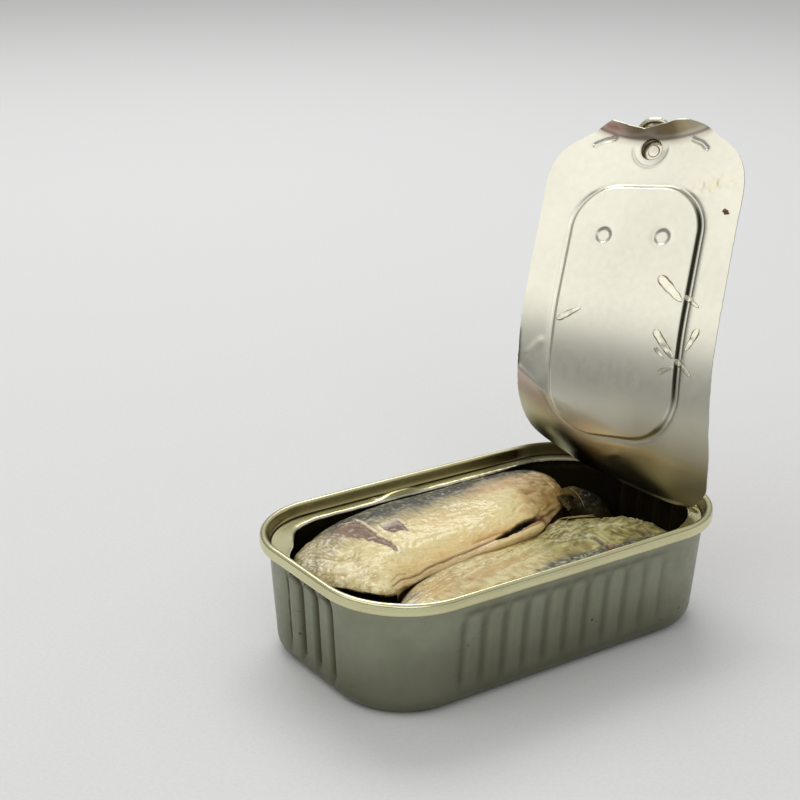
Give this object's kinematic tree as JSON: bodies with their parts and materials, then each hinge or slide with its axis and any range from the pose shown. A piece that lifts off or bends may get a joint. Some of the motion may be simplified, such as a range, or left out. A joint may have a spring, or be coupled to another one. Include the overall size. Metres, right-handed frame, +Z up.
{
  "type": "opened tin of sardines",
  "caption": "Opened rectangular fish tin with rounded corners and ribbed sides, its pull-ring lid bent up at one end and whole fish inside.",
  "frame": {"origin": "middle of the flat base, on the surface the tin stands on", "axes": "+X along the tin towards the end where the lid is still joined, -Y the front long side, +Z up"},
  "size_m": [0.1234, 0.0713, 0.1134],
  "materials": {
    "tin_body": "satin metal with a grey-olive tint, lightly speckled",
    "tin_end": "pale gold lacquered metal, bright along the crest of the seam",
    "lid_sheet": "warm silver lacquered metal inside, plain red lacquer with a pale border outside",
    "ring_metal": "bright rolled metal",
    "fish_side": "moist oiled cream to golden fish skin and flesh",
    "fish_flank": "moist oiled olive-gold fish skin with a blue-grey back",
    "fish_dark": "dark oiled fish skin"
  },
  "bodies": {
    "tin": {"can_body": "tin_body", "end_ring": "tin_end", "fish_1": "fish_side", "fish_2": "fish_flank", "fish_3": "fish_dark"},
    "lid_flap": {"lid": "lid_sheet", "pull_ring": "ring_metal"}
  },
  "joints": [
    {"name": "lid_bend", "type": "hinge", "parent": "tin", "child": "lid_flap", "pos_m": [0.0449, 0, 0.0263], "axis": [0, 1, 0], "range_deg": [-35, 20]}
  ]
}
